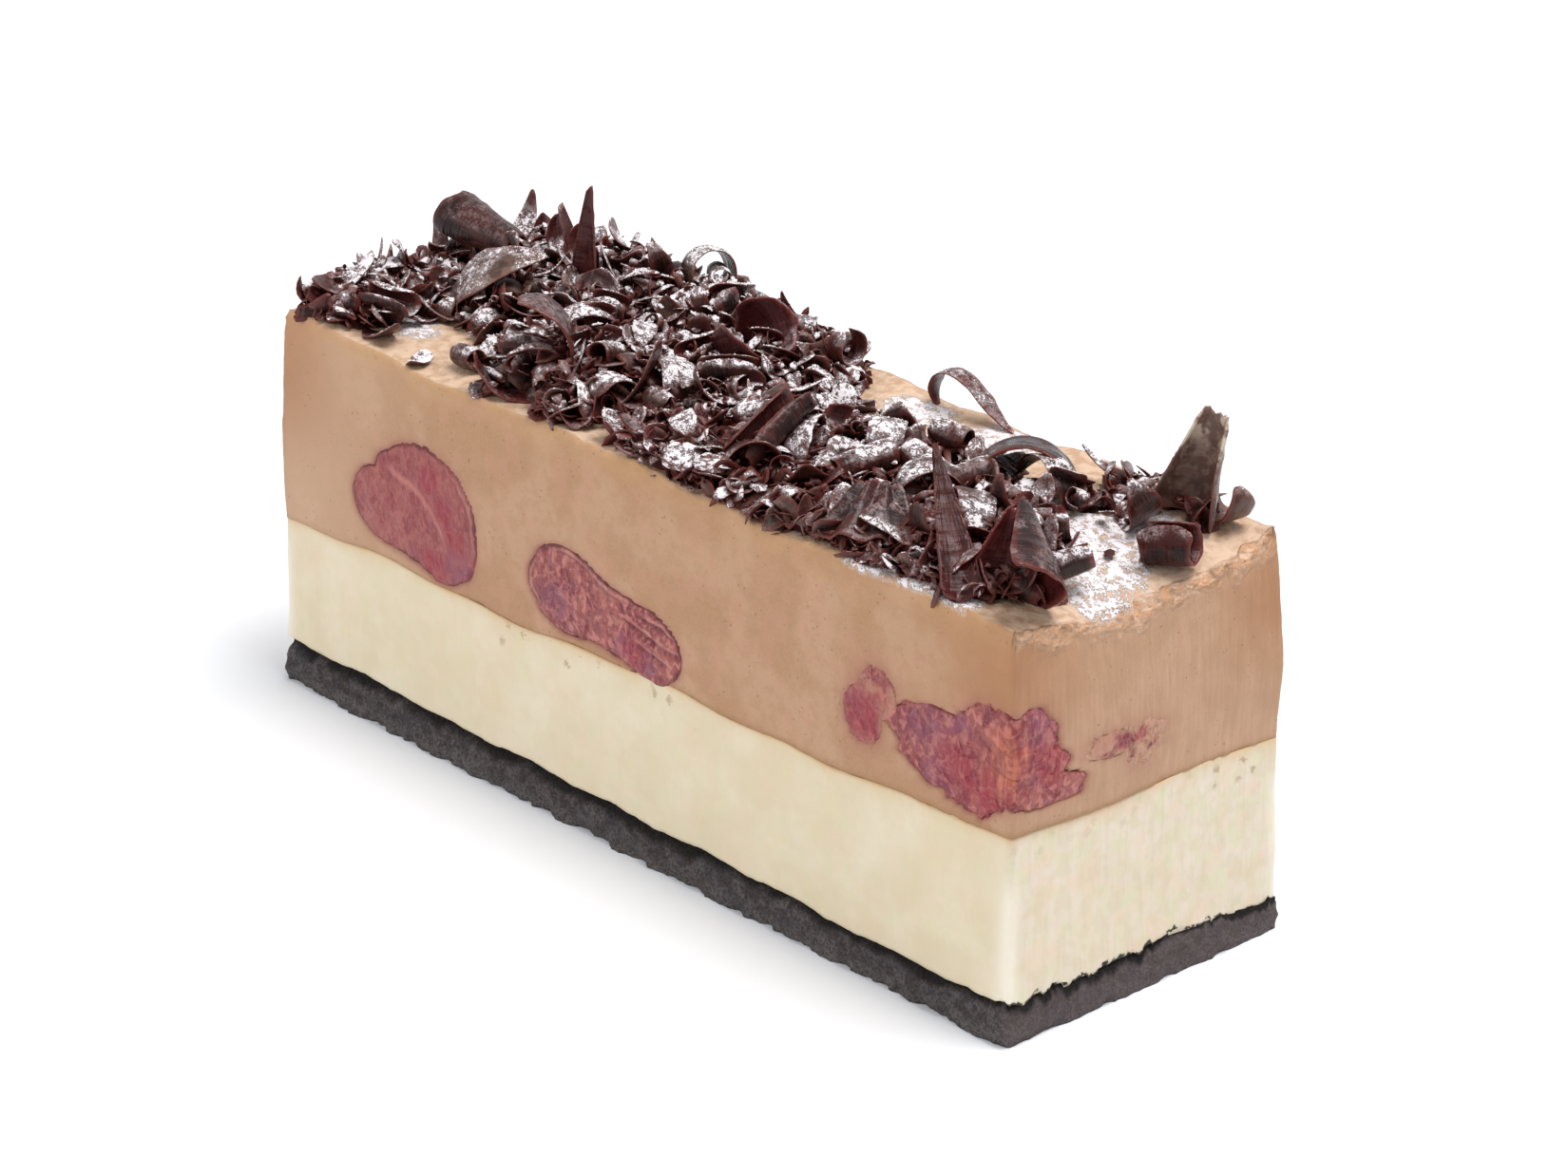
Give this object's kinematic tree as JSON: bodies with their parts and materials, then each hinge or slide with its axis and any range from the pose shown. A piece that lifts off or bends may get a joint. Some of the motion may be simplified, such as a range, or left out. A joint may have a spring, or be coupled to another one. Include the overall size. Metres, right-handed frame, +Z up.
{
  "type": "black forest cheesecake slice",
  "caption": "Cut bar of layered cheesecake: dark crumb base, pale cheesecake, chocolate mousse with cut cherries, topped with dusted chocolate shavings.",
  "frame": {"origin": "centre of the underside of the slice, on the surface it stands on", "axes": "+X along the long side of the slice, +Z up through the layers"},
  "size_m": [0.12, 0.0394, 0.0609],
  "materials": {
    "crumb": "dry dark biscuit crumb, rough",
    "cheesecake": "set cream cheese, smooth with knife drags",
    "mousse": "set chocolate mousse with fine bubbles",
    "cherry": "moist cut cherry flesh",
    "chocolate": "satin dark chocolate",
    "icing_sugar": "loose white powder"
  },
  "bodies": {
    "root": {"crumb_base": "crumb", "cheesecake_layer": "cheesecake", "mousse_layer": "mousse", "cherry_front_left": "cherry", "cherry_front_middle": "cherry", "cherry_front_small": "cherry", "cherry_corner": "cherry", "cherry_end": "cherry", "cherry_back_left": "cherry", "cherry_back_middle": "cherry", "cherry_back_right": "cherry", "cherry_far_end": "cherry", "shavings_heap": "chocolate", "curl_half_pipe": "chocolate", "curl_spike": "chocolate", "curl_leaf": "chocolate", "curl_boat": "chocolate", "curl_front_loop": "chocolate", "curl_front_band": "chocolate", "curl_back_loop": "chocolate", "curl_spoon": "chocolate", "curl_tube": "chocolate", "curl_back_strip": "chocolate", "curl_arch": "chocolate", "curl_fan": "chocolate", "curl_blade": "chocolate", "curl_ribbon": "chocolate", "curl_upright": "chocolate", "curl_hook": "chocolate", "curl_quill": "chocolate"}
  },
  "joints": []
}
